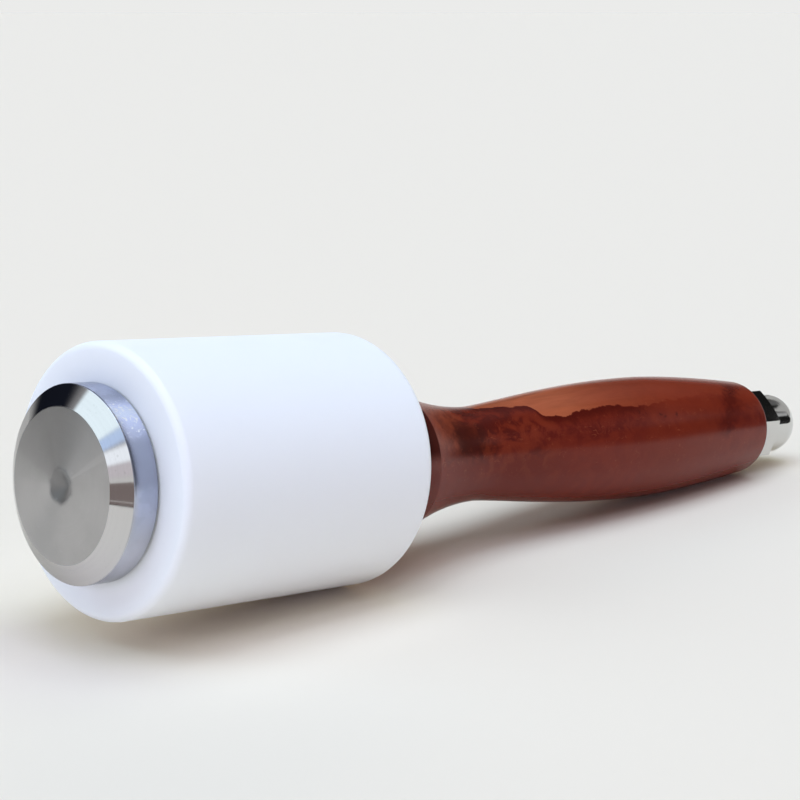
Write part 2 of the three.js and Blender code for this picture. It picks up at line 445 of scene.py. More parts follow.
def times(tree, first, second):
    """The product of two values. Of two masks it is where both are."""
    return calc(tree, "MULTIPLY", first, second)


def plus(tree, value, part, amount):
    """A value with an amount of a part added to it."""
    return calc(tree, "ADD", value, times(tree, part, amount))


def sway(tree, value, width):
    """A noise value spread over a width about zero."""
    return times(tree, calc(tree, "SUBTRACT", value, 0.5), width)


def rise(tree, value, low, high, start=0.0, end=1.0):
    """A smooth change from start to end while the value goes from low to high."""
    span = {"Value": value, "From Min": low, "From Max": high, "To Min": start, "To Max": end}
    node = add(tree, "ShaderNodeMapRange", span, interpolation_type="SMOOTHSTEP")
    return node.outputs["Result"]


def between(tree, value, low, high, soft):
    """A mask that is 1 between two values, with soft edges."""
    above_low = rise(tree, value, low - soft, low + soft)
    return times(tree, above_low, rise(tree, value, high + soft, high - soft))


def patch(tree, spot, along, across):
    """A soft patch, with (low, high, soft) for the station and the clock angle of a spot."""
    station, clock = spot
    return times(tree, between(tree, station, *along), between(tree, clock, *across))


def blend(tree, factor, first, second, blend_type="MIX"):
    """A mix of two colours, each from a socket or of three values."""
    inputs = {0: factor, 6: rgba(first), 7: rgba(second)}
    return add(tree, "ShaderNodeMix", inputs, data_type="RGBA", blend_type=blend_type).outputs[2]


def paint(tree, tone, mask, over, strength=1.0):
    """Lays a colour over a tone where the mask is."""
    if strength < 1:
        mask = times(tree, mask, strength)
    return blend(tree, mask, tone, over)


def noise(tree, vector, scale, detail=3.0, roughness=0.5, distortion=0.0):
    """A noise value about 0.5."""
    node = add(tree, "ShaderNodeTexNoise", {"Vector": vector, "Scale": scale, "Detail": detail})
    feed(tree, node, {"Roughness": roughness, "Distortion": distortion})
    return node.outputs["Fac"]


def stretched(tree, vector, scale, turn_by=(0, 0, 0), shift=(0, 0, 0)):
    """A place stretched, turned and shifted."""
    inputs = {"Vector": vector, "Scale": scale, "Rotation": turn_by, "Location": shift}
    return add(tree, "ShaderNodeMapping", inputs).outputs[0]


def curve(tree, value, points):
    """A result drawn as a curve through points of (value, result), from the lowest value up."""
    low, high = points[0][0], points[-1][0]
    results = [result for _, result in points]
    floor, top = min(results), max(results)
    along = add(tree, "ShaderNodeMapRange", {"Value": value, "From Min": low, "From Max": high})
    node = add(tree, "ShaderNodeFloatCurve", {"Value": along.outputs["Result"]})
    line = node.mapping.curves[0]
    scaled = [((x - low) / (high - low), (y - floor) / (top - floor)) for x, y in points]
    line.points[0].location = scaled[0]
    line.points[1].location = scaled[-1]
    for place in scaled[1:-1]:
        line.points.new(*place)
    node.mapping.update()
    back = {"Value": node.outputs[0], "To Min": floor, "To Max": top}
    return add(tree, "ShaderNodeMapRange", back).outputs["Result"]


def group_node(tree, name, fill, results, inputs):
    """The results of a node group, which is filled where it is first used.

    All its sockets are values, but for an input named Place.
    """
    group = bpy.data.node_groups.get(name)
    if group is None:
        group = bpy.data.node_groups.new(name, "ShaderNodeTree")
        sockets = [(label, "INPUT") for label in inputs] + [(label, "OUTPUT") for label in results]
        for label, side in sockets:
            kind = "NodeSocketVector" if label == "Place" else "NodeSocketFloat"
            group.interface.new_socket(label, in_out=side, socket_type=kind)
        given = group.nodes.new("NodeGroupInput").outputs
        feed(group, group.nodes.new("NodeGroupOutput"), dict(zip(results, fill(group, given))))
    node = add(tree, "ShaderNodeGroup", inputs, node_tree=group)
    return [node.outputs[label] for label in results]


def turning_measures(tree, given):
    """The station, the radius and the clock angle of a place on the mallet."""
    parts = add(tree, "ShaderNodeSeparateXYZ", {0: given["Place"]}).outputs
    side, up = parts["Y"], parts["Z"]
    square = calc(tree, "ADD", times(tree, side, side), times(tree, up, up))
    clock = calc(tree, "ARCTAN2", times(tree, side, -1.0), up)
    return parts["X"], calc(tree, "SQRT", square), calc(tree, "DEGREES", clock)


def measured(tree, place):
    """The station, radius and clock angle of a place."""
    results = ("Station", "Radius", "Clock")
    return group_node(tree, "Turning measures", turning_measures, results, {"Place": place})


def scuff_marks(tree, given):
    """Fine short scratches as a mask from 0 to 1, and hand marks as a slow noise."""
    place = given["Place"]
    lengthwise = stretched(tree, place, (0.35, 2.2, 2.2), (0.3, 0.2, 0.7))
    crosswise = stretched(tree, place, (2.4, 0.3, 0.9), (0.9, 0.4, 0.1))
    long_marks = rise(tree, noise(tree, lengthwise, 1.3, 4, 0.6), 0.62, 0.72)
    cross_marks = rise(tree, noise(tree, crosswise, 1.1, 4, 0.6), 0.64, 0.74)
    scratch = calc(tree, "MAXIMUM", long_marks, cross_marks)
    return times(tree, scratch, given["Amount"]), noise(tree, place, 0.13, 3, 0.55)


def scuffed(tree, place, amount):
    """The scratch mask and the smear value at a place."""
    inputs = {"Place": place, "Amount": amount}
    return group_node(tree, "Scuffs", scuff_marks, ("Mask", "Smear"), inputs)


def shaded_material(name, kind, inputs=None):
    """A material with one shader of a kind on its surface."""
    material = bpy.data.materials.new(name)
    material.use_nodes = True
    tree = material.node_tree
    tree.nodes.clear()
    shader = add(tree, kind, inputs)
    add(tree, "ShaderNodeOutputMaterial", {"Surface": shader.outputs[0]})
    return material, tree, shader


def new_material(name, place, drop=0.0):
    """A material with its shader and the place in millimetres along the mallet's own axis."""
    material, tree, shader = shaded_material(name, "ShaderNodeBsdfPrincipled")
    turn_back = Matrix.Rotation(-place.tilt, 3, "Y")
    shift = -(turn_back @ Vector(place.face_centre)) + Vector((0, 0, drop))
    where = add(tree, "ShaderNodeTexCoord").outputs["Object"]
    in_mm = stretched(tree, where, [1 / MM] * 3, (0, -place.tilt, 0), shift / MM)
    return material, tree, shader, in_mm


def dress(tree, shader, look, height, distance):
    """Gives the shader its look, and a bump whose height of 1 stands for the distance."""
    bump = add(tree, "ShaderNodeBump", {"Height": height, "Distance": distance})
    feed(tree, shader, {**look, "Normal": bump.outputs[0]})


# The face falls away from its centre by this share of the radius. Its rings are in millimetres.
FACE_DISH = 0.085
RING_HEIGHT = 0.004

# Painted reflection round the disc's face and painted sheen round its side band: brightness by clock
# angle in degrees from the top.
FACE_PAINTED_FAN = (
    (-180, 0.97), (-105, 0.96), (-90, 0.87), (-75, 0.75), (-60, 0.67), (-45, 0.66), (-30, 0.70),
    (-15, 0.80), (0, 0.84), (15, 0.88), (30, 1.0), (45, 1.08), (60, 1.04), (90, 0.95), (180, 0.97),
)
BAND_PAINTED_SHEEN = (
    (-180, 1.0), (-20, 1.5), (0, 1.68), (15, 1.44), (25, 1.08), (37, 1.27), (48, 1.06),
    (60, 1.12), (75, 0.99), (90, 0.97), (112, 1.03), (132, 1.26), (155, 1.22), (180, 1.0),
)


def turned_face_steel(settings):
    """Faced steel: fine rings on a slight dish spread the light into a fan, and the fan is also
    painted into its colour.
    """
    disc = settings.disc
    material, tree, shader, place = new_material("turned_face_steel", settings.place)
    _, radius, clock = measured(tree, place)
    mask, smear = scuffed(tree, place, 0.5)
    ring_place = add(tree, "ShaderNodeCombineXYZ", {"X": radius}).outputs[0]
    rings = noise(tree, ring_place, 2.6, 5, 0.65)
    steel = Vector(disc.steel) * 0.80
    tone = blend(tree, rings, steel * 0.93, steel * 1.07)
    tone = paint(tree, tone, rise(tree, smear, 0.35, 0.7), steel * 0.95)
    tone = paint(tree, tone, mask, steel * 1.12)
    # Painted reflection: the fan of light is painted into the colour, brighter and darker round the
    # clock.
    tone = blend(tree, 1.0, tone, curve(tree, clock, FACE_PAINTED_FAN), "MULTIPLY")

    # A painted highlight: one pale ray of glare runs out from the centre.
    painted_glare = times(tree, between(tree, clock, 56, 62, 1.5), rise(tree, radius, 2.5, 4.0))
    tone = paint(tree, tone, painted_glare, steel * 1.14, 0.8)

    # The centre mark and a ragged blot round it are dull and darker.
    mark_edge = disc.mark_radius / MM
    ragged = plus(tree, radius, noise(tree, place, 0.6, 3), 1.6)
    blot = rise(tree, ragged, mark_edge + 1.7, mark_edge + 0.6)
    tone = paint(tree, tone, blot, steel * 0.75, 0.9)
    tangent = add(tree, "ShaderNodeTangent", direction_type="UV_MAP", uv_map="turning")
    look = {
        "Base Color": tone,
        "Metallic": 1.0,
        "Anisotropic": 0.7,
        "Roughness": plus(tree, rise(tree, smear, 0.3, 0.75, 0.30, 0.37), blot, 0.35),
        "Tangent": tangent.outputs[0],
    }
    fall = times(tree, radius, -FACE_DISH)
    dress(tree, shader, look, plus(tree, fall, rings, RING_HEIGHT), MM)
    return material


def polished_steel(settings):
    """The chamfer and the side band: polished, with lathe lines and hand marks on the band, and
    painted highlights and shade round the band.
    """
    disc = settings.disc
    material, tree, shader, place = new_material("polished_steel", settings.place)
    station, radius, clock = measured(tree, place)
    mask, smear = scuffed(tree, place, 0.6)
    steel = Vector(disc.steel)
    band_edge = disc.radius / MM
    on_band = rise(tree, radius, band_edge - 0.2, band_edge - 0.05)
    rings = noise(tree, stretched(tree, place, (5.0, 0.03, 0.03)), 1.0, 4, 0.6)
    tone = blend(tree, rings, steel * 0.97, steel * 1.06)
    tone = paint(tree, tone, mask, steel * 0.85)

    # The band is painted cooler, a painted bluish reflection, and blotched by wear. A painted
    # highlight with painted glints lies above a painted dull patch, and below that the band is
    # painted darker.
    blots = noise(tree, place, 0.22, 4, 0.6)
    specks = noise(tree, place, 1.3, 3, 0.7)
    reflected_blue_steel = Vector((steel.x * 0.74, steel.y * 0.80, steel.z * 0.98))
    band_wear_and_sheen = blend(tree, rise(tree, blots, 0.45, 0.56), reflected_blue_steel * 0.9, reflected_blue_steel * 1.15)
    band_wear_and_sheen = paint(tree, band_wear_and_sheen, rings, reflected_blue_steel)
    painted_highlight = times(tree, rise(tree, clock, 22, 34), rise(tree, clock, 56, 46))
    band_wear_and_sheen = paint(tree, band_wear_and_sheen, painted_highlight, reflected_blue_steel * 1.45)
    band_wear_and_sheen = paint(tree, band_wear_and_sheen, between(tree, clock, 56, 84, 4), reflected_blue_steel * 0.72, 0.8)
    band_wear_and_sheen = paint(tree, band_wear_and_sheen, times(tree, painted_highlight, rise(tree, specks, 0.56, 0.63)), steel * 2.1)
    band_wear_and_sheen = paint(tree, band_wear_and_sheen, rise(tree, clock, 84, 118, 0.0, 0.8), steel * 0.80)
    # Painted sheen: the band is made brighter and darker round the clock.
    band_wear_and_sheen = blend(tree, 1.0, band_wear_and_sheen, curve(tree, clock, BAND_PAINTED_SHEEN), "MULTIPLY")

    # A dark line is painted part of the way round, a painted shade of a groove that the band's shape
    # does not have.
    painted_groove_shade = patch(tree, (station, clock), (2.45, 2.8, 0.12), (58, 86, 4))
    band_wear_and_sheen = paint(tree, band_wear_and_sheen, painted_groove_shade, reflected_blue_steel * 0.35, 0.6)
    polish = rise(tree, smear, 0.35, 0.7, 0.045, 0.09)
    satin = rise(tree, smear, 0.35, 0.7, 0.14, 0.22)
    mixed = add(tree, "ShaderNodeMix", {0: on_band, 2: polish, 3: satin}, data_type="FLOAT")
    look = {
        "Base Color": blend(tree, on_band, tone, band_wear_and_sheen),
        "Metallic": 1.0,
        "Specular Tint": (0.6, 0.6, 0.6, 1.0),
        "Roughness": mixed.outputs[0],
    }
    dress(tree, shader, look, rings, 0.002 * MM)
    return material


def turned_nylon(settings):
    """Milky nylon with soft light inside and faint turning lines."""
    material, tree, shader, place = new_material("turned_nylon", settings.place)
    mask, smear = scuffed(tree, place, 0.35)
    nylon = Vector(settings.head.nylon)
    tone = blend(tree, noise(tree, place, 0.045, 3, 0.5), nylon * 0.985, nylon)
    look = {
        "Base Color": paint(tree, tone, mask, nylon * 0.97),
        "Roughness": rise(tree, smear, 0.3, 0.7, 0.42, 0.5),
        "Subsurface Weight": 0.25,
        "Subsurface Radius": (1.0, 1.0, 1.0),
        "Subsurface Scale": 5 * MM,
        "Specular IOR Level": 0.35,
        "Specular Tint": (0.55, 0.85, 1.0, 1.0),
    }
    lines = noise(tree, stretched(tree, place, (3.0, 0.02, 0.02)), 1.0, 3, 0.6)
    dress(tree, shader, look, lines, 0.006 * MM)
    return material


# The wood is drawn by station in millimetres along the mallet, and by clock angle in degrees from
# the top. The sapwood's lower edge is a clock angle, and what shows of it a share.
SAP_EDGE = (
    (92, -30), (100, -12), (106, 12), (112, 18), (117, 22), (119, 35), (121.5, 44), (126, 46),
    (132, 45), (138, 43), (145, 45), (152, 47), (162, 44), (175, 40), (190, 36), (202, 30),
)
SAP_SHOWN = ((92, 0.25), (104, 0.75), (111, 1.0), (130, 1.0), (146, 0.62), (160, 0.25), (202, 0.0))

# Station, clock angle and half the length round the grip of each knot.
KNOTS = ((161.5, 59.5, 2.6), (157.0, 60.0, 1.4), (150.5, 56.0, 2.0))
KNOT_HALF_WIDTH = 0.45


def wood_figure(tree, place):
    """The places and noises that the wood is drawn with."""
    at = SimpleNamespace(place=place)
    at.true_station, _, at.true_clock = measured(tree, place)
    # The figure's edges wander: stations by millimetres, clock angles by degrees.
    drift = sway(tree, noise(tree, place, 0.16, 4, 0.6, 0.8), 9.0)
    at.ripple = noise(tree, place, 0.55, 4, 0.65, 0.6)
    at.shake = sway(tree, at.ripple, 5.0)
    at.station = calc(tree, "ADD", at.true_station, calc(tree, "ADD", drift, at.shake))
    swing = plus(tree, times(tree, drift, 1.4), at.shake, 2.2)
    at.clock = calc(tree, "ADD", at.true_clock, swing)
    at.spot = at.station, at.clock
    grain = stretched(tree, place, (0.10, 1.0, 1.0), (0.0, 0.05, 0.08))
    at.streaks = noise(tree, grain, 0.42, 5, 0.62, 0.6)
    at.mottle = noise(tree, place, 0.24, 6, 0.62, 0.5)
    return at


def heartwood_tone(tree, at, wood):
    """Mottled and streaked heartwood, with the slow changes of its colour along the handle, and a
    painted reflection on its lower side.
    """
    tone = blend(tree, rise(tree, at.mottle, 0.36, 0.64), wood.heart, wood.deep)
    streaked = rise(tree, at.streaks, 0.35, 0.7, 0.0, 0.45)
    tone = paint(tree, tone, streaked, wood.heart.lerp(wood.deep, 0.6))
    # The wood is painted lighter from its side downwards, a painted reflection of the pale floor.
    tone = paint(tree, tone, rise(tree, at.true_clock, 66, 88), wood.heart * 1.22, 0.6)

    # The grip is warmer and lighter than the neck.
    warm = times(tree, rise(tree, at.station, 138, 165), rise(tree, at.clock, 70, 30))
    tone = paint(tree, tone, warm, wood.warm, 0.75)
    rosy = patch(tree, at.spot, (150, 180, 4), (45, 150, 6))
    tone = paint(tree, tone, rosy, wood.heart.lerp(wood.sap, 0.06), 0.5)

    # The neck is painted paler between the rim and the burl, partly paler wood and partly a painted
    # sheen, and a plain dark red on its lower side.
    pale_collar_and_sheen = times(tree, between(tree, at.station, 82, 94, 4), rise(tree, at.clock, 90, 60))
    tone = paint(tree, tone, pale_collar_and_sheen, wood.heart.lerp(wood.sap, 0.50), 0.7)
    along_neck = between(tree, at.true_station, 86, 122, 8)
    under_neck = times(tree, along_neck, rise(tree, at.true_clock, 62, 90))
    return paint(tree, tone, under_neck, wood.heart.lerp(wood.deep, 0.4), 0.7)


def add_burl(tree, tone, at, wood):
    """The dark burl at the neck, and pale flecks in and round it."""
    eye = patch(tree, at.spot, (89, 102, 3), (42, 80, 7))
    tone = paint(tree, tone, eye, wood.burl, 0.92)
    ring = patch(tree, at.spot, (84, 118, 4), (14, 88, 8))
    ring = times(tree, ring, rise(tree, at.mottle, 0.42, 0.62, 0.0, 0.5))
    tone = paint(tree, tone, ring, wood.burl * 1.6)
    flecks = patch(tree, at.spot, (97, 122, 5), (40, 110, 10))
    flecks = times(tree, flecks, rise(tree, at.mottle, 0.58, 0.40, 0.0, 0.45))
    tone = paint(tree, tone, flecks, wood.heart.lerp(wood.sap, 0.18))

    # Fine pale strokes lie where a slow noise crosses its middle.
    wavy = stretched(tree, at.place, (0.5, 1.0, 1.0), (0.2, 0.1, 0.5))
    waves = noise(tree, wavy, 0.38, 2, 0.5, 1.2)
    stroke = rise(tree, calc(tree, "ABSOLUTE", calc(tree, "SUBTRACT", waves, 0.5)), 0.012, 0.002)
    stroke = times(tree, stroke, rise(tree, at.ripple, 0.50, 0.60))
    stroke = times(tree, stroke, between(tree, at.clock, 38, 112, 8))
    return paint(tree, tone, stroke, wood.heart.lerp(wood.sap, 0.5), 0.6)


def add_sapwood(tree, tone, at, wood):
    """The pale sapwood along the top. Its lower edge is uneven, with a dark line under it."""
    chips = noise(tree, stretched(tree, at.place, (0.8, 1.0, 1.0)), 0.3, 3, 0.5, 0.6)
    uneven = calc(tree, "ADD", times(tree, at.shake, 1.1), sway(tree, chips, 13.0))
    from_edge = calc(tree, "SUBTRACT", at.true_clock, curve(tree, at.true_station, SAP_EDGE))
    below = calc(tree, "ADD", from_edge, uneven)
    side_end = rise(tree, at.true_clock, -75.0, -45.0)
    sap_tone = blend(tree, rise(tree, at.streaks, 0.3, 0.75), wood.sap * 0.78, wood.sap * 1.1)
    faded = rise(tree, at.true_station, 124, 142, 0, 0.6)
    sap_tone = paint(tree, sap_tone, faded, wood.warm.lerp(wood.sap, 0.25))
    brighter = between(tree, at.true_station, 112, 130, 5)
    near_edge = times(tree, rise(tree, below, -20, -4), brighter)
    sap_tone = paint(tree, sap_tone, near_edge, wood.sap * 1.15, 0.5)
    sap_mask = times(tree, rise(tree, below, 0.9, -0.9), side_end)
    sap_mask = times(tree, sap_mask, curve(tree, at.true_station, SAP_SHOWN))
    tone = paint(tree, tone, sap_mask, sap_tone)
    line = times(tree, rise(tree, below, -0.9, 0.9), rise(tree, below, 15.0, 1.5, 0.0, 0.9))
    line_end = times(tree, rise(tree, at.true_station, 158.0, 146.0), side_end)
    return paint(tree, tone, times(tree, line, line_end), wood.deep * 0.75)


def add_grip_marks(tree, tone, at, wood):
    """A dark band across the butt, with small knots and pale specks on the grip before it."""
    slant = plus(tree, at.station, at.clock, 0.2)
    stripe = patch(tree, (slant, at.clock), (194.5, 199.5, 3.0), (18, 84, 8))
    tone = paint(tree, tone, stripe, wood.deep * 0.8, 0.9)
    for station, clock, half in KNOTS:
        along = (station - KNOT_HALF_WIDTH, station + KNOT_HALF_WIDTH, 0.35)
        knot = patch(tree, at.spot, along, (clock - half, clock + half, 1.0))
        tone = paint(tree, tone, knot, wood.burl, 0.6)
    specks = rise(tree, noise(tree, at.place, 0.75, 5, 0.7, 1.8), 0.70, 0.74)
    specks = times(tree, specks, between(tree, at.clock, 30, 130, 10))
    return paint(tree, tone, specks, wood.sap, 0.35)


def lacquered_wood(settings):
    """Figured red brown wood with a burl, a pale streak and knots, under gloss lacquer."""
    handle = settings.handle
    material, tree, shader, place = new_material(
        "lacquered_wood", settings.place, settings.place.rod_drop
    )
    wood = SimpleNamespace(
        heart=Vector(handle.heartwood),
        deep=Vector(handle.deep),
        burl=Vector(handle.burl),
        sap=Vector(handle.sapwood),
        warm=Vector(handle.warm),
    )
    at = wood_figure(tree, place)
    tone = heartwood_tone(tree, at, wood)
    tone = add_burl(tree, tone, at, wood)
    tone = add_sapwood(tree, tone, at, wood)
    tone = add_grip_marks(tree, tone, at, wood)

    # The rim beside the head is painted dark on its upper side, a painted shadow of the head's
    # overhang, and carries less lacquer.
    on_rim = rise(tree, at.true_station, 82.4, 81.8)
    rim = times(tree, on_rim, rise(tree, at.true_clock, 84, 72, 0.35, 1))
    head_shadow_tone = blend(tree, rise(tree, at.true_station, 76, 81), wood.burl * 0.35, wood.burl * 1.1)
    look = {
        "Base Color": paint(tree, tone, rim, head_shadow_tone, 0.95),
        "Roughness": 0.5,
        "Specular IOR Level": 0.0,
        "Coat Weight": calc(tree, "SUBTRACT", 0.9, times(tree, rim, 0.84)),
        "Coat Roughness": 0.22,
        "Coat IOR": 1.31,
    }
    pores = noise(tree, stretched(tree, place, (0.35, 1.6, 1.6), (0, 0, 0.12)), 1.1, 4, 0.65)
    dress(tree, shader, look, pores, 0.02 * MM)
    return material


def chrome_plate(settings):
    """Bright chrome with fine wear."""
    material, tree, shader, place = new_material("chrome_plate", settings.place)
    mask, smear = scuffed(tree, place, 0.5)
    chrome = Vector(settings.nut.chrome)
    tone = blend(tree, smear, chrome * 0.96, chrome)
    look = {
        "Base Color": paint(tree, tone, mask, chrome * 0.9),
        "Metallic": 1.0,
        "Roughness": rise(tree, smear, 0.35, 0.7, 0.08, 0.12),
    }
    dress(tree, shader, look, noise(tree, place, 0.9, 2, 0.5), 0.008 * MM)
    return material


# Dark and pale of the drawn steel, and its scratches.
ROD_TONES = ((0.40, 0.41, 0.43), (0.58, 0.59, 0.61), (0.66, 0.66, 0.67))


def rod_steel(settings):
    """Plain drawn steel with length marks, for the hidden rod."""
    material, tree, shader, place = new_material("rod_steel", settings.place)
    mask, smear = scuffed(tree, place, 0.8)
    drawn = noise(tree, stretched(tree, place, (0.05, 2.0, 2.0)), 1.6, 4, 0.6)
    dark, pale, scratch = ROD_TONES
    look = {
        "Base Color": paint(tree, blend(tree, drawn, dark, pale), mask, scratch),
        "Metallic": 1.0,
        "Roughness": rise(tree, smear, 0.3, 0.7, 0.28, 0.42),
    }
    dress(tree, shader, look, drawn, 0.01 * MM)
    return material


# Operators


class MALLET_OT_striking_disc(bpy.types.Operator):
    """Turn the steel striking disc"""

    bl_idname = "mallet.striking_disc"
    bl_label = "Striking Disc"

    def execute(self, context):
        settings = context.scene.mallet
        disc, place = settings.disc, settings.place
        bm = disc_outline(disc, place.rod_hole)
        turn(bm, place.sides)
        map_turning(bm, disc.radius)
        face_edge = disc.radius - disc.chamfer_width + disc.edge_round / 2
        for face in bm.faces:
            centre = face.calc_center_median()
            on_face = centre.x < disc.mark_depth and math.hypot(centre.y, centre.z) < face_edge
            face.material_index = 0 if on_face else 1
        sink_hole(bm, place.rod_hole, disc.face_wall, place.rod_drop)
        steels = [turned_face_steel(settings), polished_steel(settings)]
        finished_piece(context, bm, 0, steels, "striking_disc")
        return {"FINISHED"}


class MALLET_OT_nylon_head(bpy.types.Operator):
    """Turn the nylon head"""

    bl_idname = "mallet.nylon_head"
    bl_label = "Nylon Head"

    def execute(self, context):
        settings = context.scene.mallet
        place = settings.place
        bm = head_outline(settings.head, place.rod_hole)
        turn(bm, place.sides)
        sink_hole(bm, place.rod_hole, settings.head.start, place.rod_drop)
        finished_piece(context, bm, 0, [turned_nylon(settings)], "nylon_head")
        return {"FINISHED"}


class MALLET_OT_wooden_handle(bpy.types.Operator):
    """Turn the lacquered wooden handle"""

    bl_idname = "mallet.wooden_handle"
    bl_label = "Wooden Handle"

    def execute(self, context):
        settings = context.scene.mallet
        place = settings.place
        bm = handle_outline(settings.handle, place.rod_hole)
        turn(bm, place.sides)
        wood = [lacquered_wood(settings)]
        finished_piece(context, bm, place.rod_drop, wood, "wooden_handle")
        return {"FINISHED"}


class MALLET_OT_cap_nut(bpy.types.Operator):
    """Turn the cap nut and cut its flats"""

    bl_idname = "mallet.cap_nut"
    bl_label = "Cap Nut"

    def execute(self, context):
        settings = context.scene.mallet
        nut, place = settings.nut, settings.place
        bm = nut_outline(nut, place.rod_hole)
        turn(bm, place.sides)
        cut_flats(bm, nut.across_flats, nut.corner_turn)
        finished_piece(context, bm, place.rod_drop, [chrome_plate(settings)], "cap_nut")
        return {"FINISHED"}


class MALLET_OT_through_rod(bpy.types.Operator):
    """Give the hidden rod its steel finish"""

    bl_idname = "mallet.through_rod"
    bl_label = "Through Rod"

    def execute(self, context):
        steel = rod_steel(context.scene.mallet)
        for slot in frame["nodes"]["through_rod"].material_slots:
            slot.material = steel
        return {"FINISHED"}


# Stage


def heading(azimuth, elevation):
    """The direction at an azimuth from +X and an elevation, both in degrees."""
    a, e = math.radians(azimuth), math.radians(elevation)
    return Vector((math.cos(a) * math.cos(e), math.sin(a) * math.cos(e), math.sin(e)))


def looking(direction):
    """The turn that points an object's -Z axis in a direction."""
    return direction.to_track_quat("-Z", "Y").to_matrix().to_4x4()


SENSOR_WIDTH = 36
CLIP_START = 0.01
CLIP_END = 200


def set_camera(context, stage):
    """Stands the camera in its place."""
    lens = bpy.data.cameras.new("camera")
    lens.sensor_width = SENSOR_WIDTH
    lens.lens = stage.lens
    lens.clip_start = CLIP_START
    lens.clip_end = CLIP_END
    camera = bpy.data.objects.new("camera", lens)
    look = looking(Vector(stage.camera_look))
    camera.matrix_world = Matrix.Translation(Vector(stage.camera_place)) @ look
    context.scene.collection.objects.link(camera)
    context.scene.camera = camera


# The floor lies just under the lowest points of the turned pieces.
FLOOR_DROP = 0.12 * MM
FLOOR_RADIUS = 100
FLOOR_SIDES = 64


def lay_floor(context, stage):
    """Lays a wide pale floor without gloss."""
    bm = bmesh.new()
    bmesh.ops.create_circle(bm, cap_ends=True, segments=FLOOR_SIDES, radius=FLOOR_RADIUS)
    bmesh.ops.translate(bm, vec=(0, 0, -FLOOR_DROP), verts=bm.verts[:])
    bmesh.ops.recalc_face_normals(bm, faces=bm.faces[:])
    look = {"Base Color": rgba(stage.floor), "Roughness": 0.6, "Specular IOR Level": 0.0}
    material, _, _ = shaded_material("pale_floor", "ShaderNodeBsdfPrincipled", look)
    floor = linked_object(context, "floor", bm, [material])


LAMP_WIDTH = math.radians(36)
LAMP_DISTANCE = 3

# Name, azimuth and elevation in degrees, and light.
LAMPS = (
    ("top_lamp", 0, 88, (0.205, 0.240, 0.340)),
    ("high_end_lamp", 0, 62, (0.116, 0.150, 0.132)),
    ("high_right_lamp", -60, 62, (0.138, 0.150, 0.186)),
    ("high_near_lamp", -120, 62, (0.108, 0.118, 0.155)),
    ("high_left_lamp", 180, 62, (0.175, 0.211, 0.254)),
    ("far_left_lamp", 135, 36, (0.106, 0.151, 0.197)),
    ("low_near_lamp", -90, 12, (0.112, 0.100, 0.150)),
    ("low_left_lamp", 180, 12, (0.222, 0.220, 0.310)),
    ("low_far_lamp", 45, 12, (0.250, 0.200, 0.160)),
)


def sun_lamp(context, name, azimuth, elevation, light):
    """A broad even lamp from a direction. It gives no glints, which the room's patches give."""
    lamp = bpy.data.lights.new(name, "SUN")
    lamp.angle = LAMP_WIDTH
    strongest = max(light)
    lamp.energy = math.pi * strongest
    lamp.color = [part / strongest for part in light]
    place = LAMP_DISTANCE * heading(azimuth, elevation)
    made = bpy.data.objects.new(name, lamp)
    made.matrix_world = Matrix.Translation(place) @ looking(-place)
    made.visible_glossy = False
    context.scene.collection.objects.link(made)


# Cards beside the mallet: name, the place that sees the card, azimuth and elevation in degrees,
# distance, width and height in metres, and colour. The disc sees a box low in front of it, with a
# line and a pale rim.
NEAR_DISC = Vector((-0.11, 0, 0.03))
NEAR_DOME = Vector((0.103, -0.003, 0.013))
NEAR_GRIP = Vector((0.05, 0, 0.025))
GLOSS_CARDS = (
    ("low_box", NEAR_DISC, -169, -1.3, 0.18, 0.054, 0.049, (0.25, 0.205, 0.197)),
    ("low_box_line", NEAR_DISC, -169, -9.0, 0.175, 0.054, 0.0022, (0.10, 0.08, 0.075)),
    ("low_box_rim", NEAR_DISC, -169, -6.4, 0.175, 0.054, 0.0028, (0.52, 0.49, 0.48)),
    ("dome_wall", NEAR_DOME, 3, 17.5, 0.03, 0.0306, 0.0155, (0.49, 0.485, 0.475)),
    ("far_edge", NEAR_GRIP, -33, -2, 0.31, 0.2, 0.03, (0.03, 0.03, 0.03)),
)


def gloss_card(context, name, seen_from, azimuth, elevation, distance, width, height, tone):
    """A card that only gloss sees, square to the line from the place that sees it."""
    away = distance * heading(azimuth, elevation)
    bm = bmesh.new()
    bmesh.ops.create_grid(bm, x_segments=1, y_segments=1, size=0.5)
    bmesh.ops.scale(bm, vec=(width, height, 1), verts=bm.verts[:])
    stand = Matrix.Translation(seen_from + away) @ looking(-away)
    bmesh.ops.transform(bm, matrix=stand, verts=bm.verts[:])
    glow = {"Color": rgba(tone), "Strength": 1.0}
    material, _, _ = shaded_material(name, "ShaderNodeEmission", glow)
    made = linked_object(context, name, bm, [material])
    for seen in ("camera", "diffuse", "shadow", "transmission", "volume_scatter"):
        setattr(made, "visible_" + seen, False)


# Elevations in degrees over which the backdrop gives way to the room above it.
BACKDROP_TOP = (3, 24)

